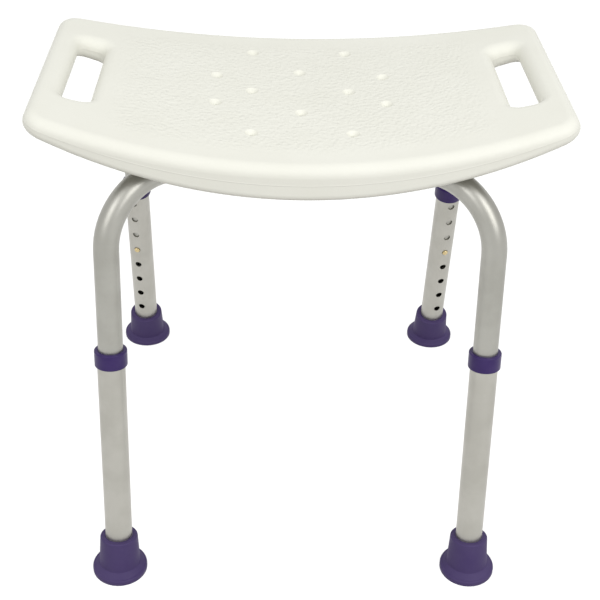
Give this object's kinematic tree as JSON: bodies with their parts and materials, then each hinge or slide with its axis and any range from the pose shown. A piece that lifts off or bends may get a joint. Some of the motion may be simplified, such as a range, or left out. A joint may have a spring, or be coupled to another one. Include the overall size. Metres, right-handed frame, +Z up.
{
  "type": "shower stool",
  "caption": "Backless shower stool: sagged white plastic seat with hand grips and drain holes on crossed bent tubes, with height-adjustable legs and rubber feet.",
  "frame": {"origin": "on the floor, midway between the four feet", "axes": "+Z up; X along the seat's width; -Y is the front, the side the picture is taken from"},
  "size_m": [0.5324, 0.4826, 0.5013],
  "materials": {
    "seat_plastic": "satin blow-moulded polyethylene, pebbled in the middle",
    "tube_aluminium": "satin anodised",
    "collar_plastic": "satin purple",
    "foot_rubber": "dull purple rubber",
    "button_brass": "tumbled",
    "spring_steel": "spring strip",
    "screw_steel": "zinc plated",
    "disc_steel": "zinc plated",
    "washer_plastic": "moulded nylon",
    "insert_brass": "turned"
  },
  "bodies": {
    "frame": {"seat": "seat_plastic", "seat_inserts": "insert_brass", "cross_tube_straight": "tube_aluminium", "cross_tube_dipped": "tube_aluminium", "seat_screws": "screw_steel", "centre_bolt": "screw_steel", "saddle_washers": "washer_plastic", "button_spring_front_left": "spring_steel", "button_spring_front_right": "spring_steel", "button_spring_rear_left": "spring_steel", "button_spring_rear_right": "spring_steel"},
    "leg_front_left": {"lower_leg_front_left": "tube_aluminium", "collar_front_left": "collar_plastic", "foot_tip_front_left": "foot_rubber", "foot_disc_front_left": "disc_steel"},
    "button_front_left": {"snap_button_front_left": "button_brass"},
    "leg_front_right": {"lower_leg_front_right": "tube_aluminium", "collar_front_right": "collar_plastic", "foot_tip_front_right": "foot_rubber", "foot_disc_front_right": "disc_steel"},
    "button_front_right": {"snap_button_front_right": "button_brass"},
    "leg_rear_left": {"lower_leg_rear_left": "tube_aluminium", "collar_rear_left": "collar_plastic", "foot_tip_rear_left": "foot_rubber", "foot_disc_rear_left": "disc_steel"},
    "button_rear_left": {"snap_button_rear_left": "button_brass"},
    "leg_rear_right": {"lower_leg_rear_right": "tube_aluminium", "collar_rear_right": "collar_plastic", "foot_tip_rear_right": "foot_rubber", "foot_disc_rear_right": "disc_steel"},
    "button_rear_right": {"snap_button_rear_right": "button_brass"}
  },
  "joints": [
    {"name": "leg_front_left_slide", "type": "slide", "parent": "frame", "child": "leg_front_left", "axis": [0, -0.1719, -0.9851], "range_m": [-0.1016, 0.0762], "deforming": ["snap_button_front_left"]},
    {"name": "button_front_left_press", "type": "slide", "parent": "frame", "child": "button_front_left", "axis": [0.2625, -0.9506, 0.1659], "range_m": [0, 0.0045], "stiffness_N_per_m": 1500, "springref_m": -0.002, "deforming": ["button_spring_front_left"]},
    {"name": "leg_front_right_slide", "type": "slide", "parent": "frame", "child": "leg_front_right", "axis": [0, -0.1719, -0.9851], "range_m": [-0.1016, 0.0762], "deforming": ["snap_button_front_right"]},
    {"name": "button_front_right_press", "type": "slide", "parent": "frame", "child": "button_front_right", "axis": [-0.2625, -0.9506, 0.1659], "range_m": [0, 0.0045], "stiffness_N_per_m": 1500, "springref_m": -0.002, "deforming": ["button_spring_front_right"]},
    {"name": "leg_rear_left_slide", "type": "slide", "parent": "frame", "child": "leg_rear_left", "axis": [0, 0.1719, -0.9851], "range_m": [-0.1016, 0.0762], "deforming": ["snap_button_rear_left"]},
    {"name": "button_rear_left_press", "type": "slide", "parent": "frame", "child": "button_rear_left", "axis": [0.2625, 0.9506, 0.1659], "range_m": [0, 0.0045], "stiffness_N_per_m": 1500, "springref_m": -0.002, "deforming": ["button_spring_rear_left"]},
    {"name": "leg_rear_right_slide", "type": "slide", "parent": "frame", "child": "leg_rear_right", "axis": [0, 0.1719, -0.9851], "range_m": [-0.1016, 0.0762], "deforming": ["snap_button_rear_right"]},
    {"name": "button_rear_right_press", "type": "slide", "parent": "frame", "child": "button_rear_right", "axis": [-0.2625, 0.9506, 0.1659], "range_m": [0, 0.0045], "stiffness_N_per_m": 1500, "springref_m": -0.002, "deforming": ["button_spring_rear_right"]}
  ]
}
